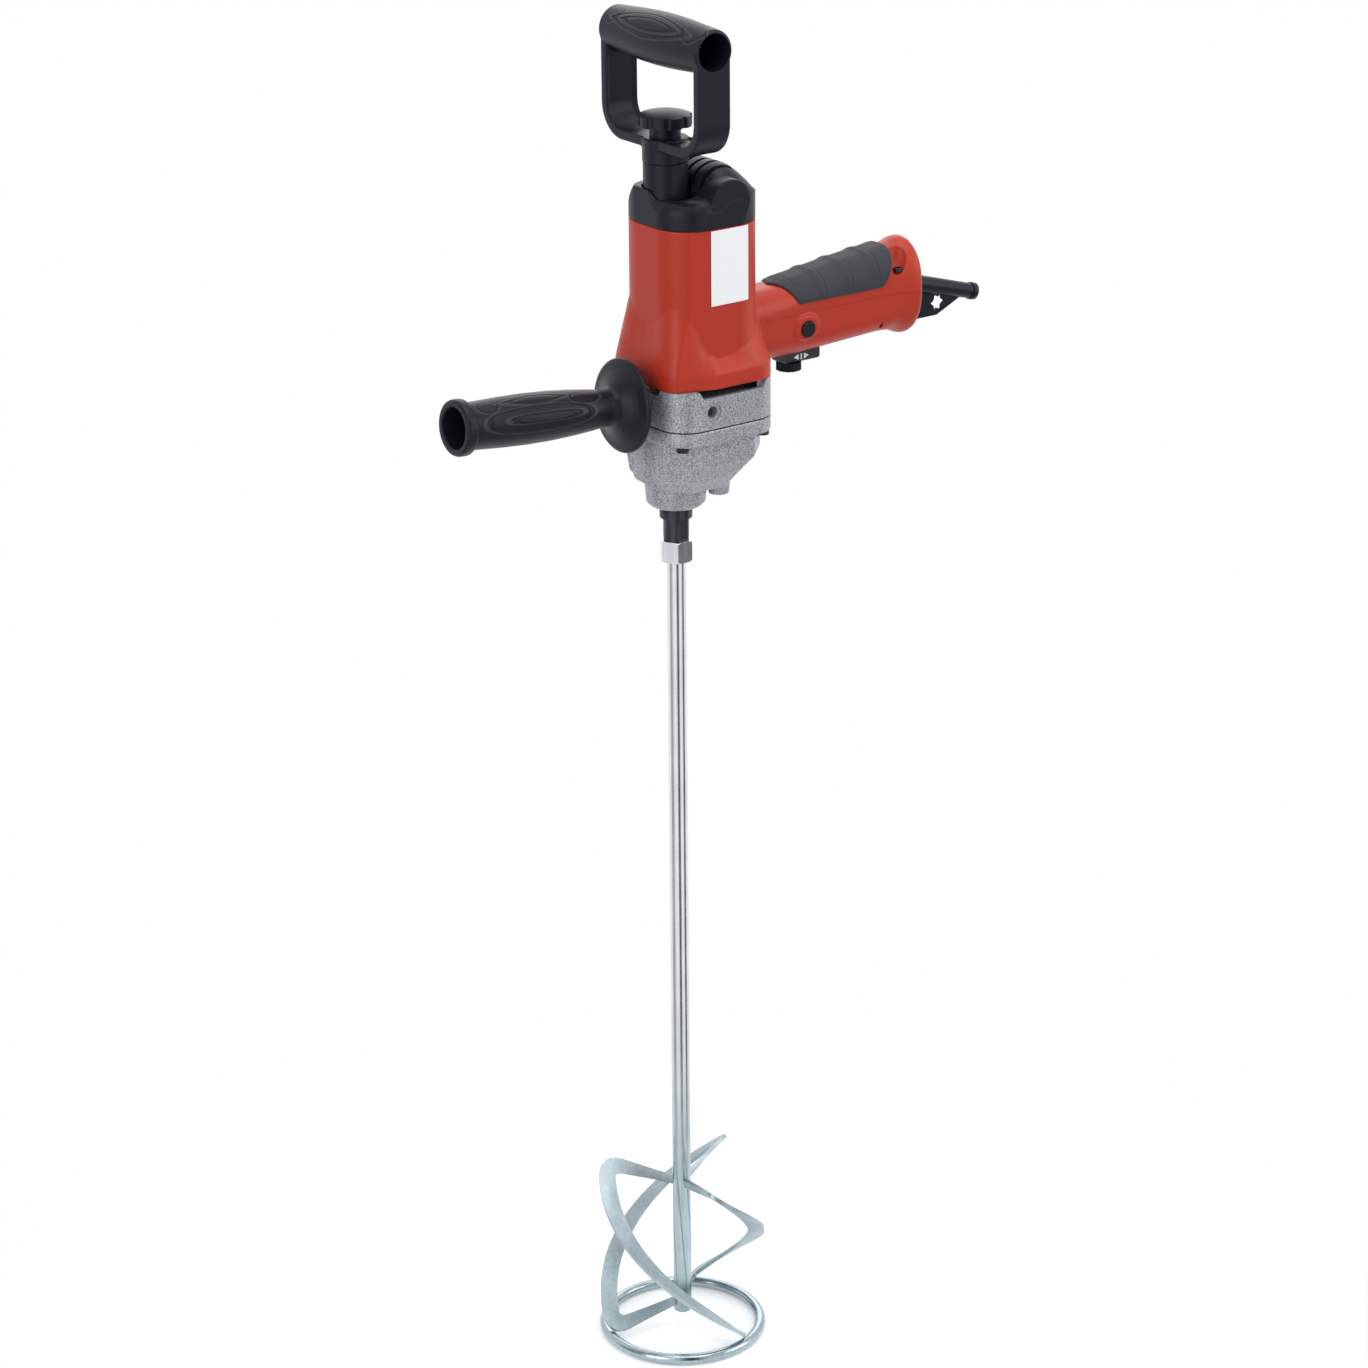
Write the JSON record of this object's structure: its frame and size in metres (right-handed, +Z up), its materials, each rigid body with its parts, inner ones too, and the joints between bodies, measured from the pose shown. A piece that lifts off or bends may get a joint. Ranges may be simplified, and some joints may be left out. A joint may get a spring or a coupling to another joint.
{
  "type": "mixing drill",
  "caption": "Upright electric mixing drill with spade, side and rear handles, driving a long rod with a helical-bladed ring paddle.",
  "frame": {"origin": "on the spindle axis at the underside of the paddle ring", "axes": "+Z up along the spindle, +X towards the rear handle, Y along the spade handle's grip"},
  "size_m": [0.4691, 0.1296, 1.0335],
  "materials": {
    "housing_red": "fine satin moulding",
    "black_plastic": "fine textured moulding",
    "soft_grip": "soft matt overmould",
    "cast_grey": "hammered grey paint on a die casting",
    "zinc_steel": "zinc plated, slightly blue",
    "dark_steel": "blackened steel",
    "bare_steel": "ground",
    "bronze": "sintered bronze",
    "copper": "enamelled copper wire",
    "core_steel": "stacked sheet steel",
    "carbon": "pressed carbon",
    "label_white": "bare printed plate stock",
    "gasket_grey": "pressed sheet"
  },
  "bodies": {
    "drill_body": {"gear_case": "cast_grey", "gear_plate": "cast_grey", "gear_gasket": "gasket_grey", "case_screws": "dark_steel", "motor_housing": "housing_red", "handle_cover": "housing_red", "grip_pad": "soft_grip", "handle_screws": "dark_steel", "name_plate": "label_white", "end_cap": "black_plastic", "cap_screws": "dark_steel", "handle_post": "black_plastic", "stud_nut": "zinc_steel", "switch_body": "black_plastic", "strain_relief": "soft_grip", "cord_clamp": "black_plastic", "cord_clamp_screws": "zinc_steel", "spindle_bearing": "bare_steel", "spindle_seal": "gasket_grey", "spindle_bush": "bronze", "layshaft_low_bush": "bronze", "layshaft_top_bush": "bronze", "motor_low_bearing": "bare_steel", "motor_top_bearing": "bare_steel", "fan_baffle": "black_plastic", "stator_core": "core_steel", "field_coils": "copper", "carbon_brushes": "carbon", "brush_holders": "bronze"},
    "output_train": {"spindle": "dark_steel", "output_gear": "bare_steel", "gear_key": "bare_steel", "retaining_ring": "dark_steel", "paddle_nut": "zinc_steel", "paddle_rod": "zinc_steel", "paddle_blade_1": "zinc_steel", "paddle_blade_2": "zinc_steel", "paddle_blade_3": "zinc_steel", "paddle_ring": "zinc_steel"},
    "layshaft_train": {"layshaft": "bare_steel", "layshaft_gear": "bare_steel"},
    "armature": {"armature_shaft": "bare_steel", "armature_core": "core_steel", "armature_windings": "copper", "commutator": "copper", "fan": "black_plastic"},
    "spade_handle": {"d_handle": "black_plastic"},
    "knob": {"star_knob": "black_plastic", "knob_stud": "zinc_steel"},
    "side_grip": {"side_handle": "black_plastic", "side_handle_stud": "zinc_steel"},
    "trigger_lever": {"trigger": "black_plastic"},
    "dial": {"speed_dial": "black_plastic"},
    "lock": {"lock_button": "black_plastic"}
  },
  "joints": [
    {"name": "spindle_spin", "type": "hinge", "parent": "drill_body", "child": "output_train", "pos_m": [0, 0, 0.68], "axis": [0, 0, 1], "continuous": true},
    {"name": "layshaft_spin", "type": "hinge", "parent": "drill_body", "child": "layshaft_train", "pos_m": [0.02446, -0.019, 0.72], "axis": [0, 0, 1], "continuous": true},
    {"name": "armature_spin", "type": "hinge", "parent": "drill_body", "child": "armature", "pos_m": [0.016, 0, 0.8], "axis": [0, 0, 1], "continuous": true},
    {"name": "spade_swivel", "type": "hinge", "parent": "drill_body", "child": "spade_handle", "pos_m": [-0.0065, 0, 0.935], "axis": [0, 0, 1], "range_deg": [-90, 90]},
    {"name": "knob_turn", "type": "hinge", "parent": "drill_body", "child": "knob", "pos_m": [-0.0065, 0, 0.955], "axis": [0, 0, 1], "continuous": true},
    {"name": "side_handle_turn", "type": "hinge", "parent": "drill_body", "child": "side_grip", "pos_m": [-0.03, 0, 0.7575], "axis": [-0.9976, 0, 0.0698], "continuous": true},
    {"name": "trigger_press", "type": "slide", "parent": "drill_body", "child": "trigger_lever", "axis": [0, 0, 1], "range_m": [0, 0.006], "stiffness_N_per_m": 900, "springref_m": -0.004},
    {"name": "dial_turn", "type": "hinge", "parent": "trigger_lever", "child": "dial", "pos_m": [0.1025, 0, 0.76], "axis": [0, 0, 1], "range_deg": [-140, 140]},
    {"name": "lock_press", "type": "slide", "parent": "drill_body", "child": "lock", "axis": [0, 1, 0], "range_m": [0, 0.003], "stiffness_N_per_m": 500, "springref_m": -0.003}
  ],
  "couplings": [
    {"joint": "layshaft_spin", "follows": "spindle_spin", "ratio": -5.5556},
    {"joint": "armature_spin", "follows": "spindle_spin", "ratio": 38.889}
  ]
}
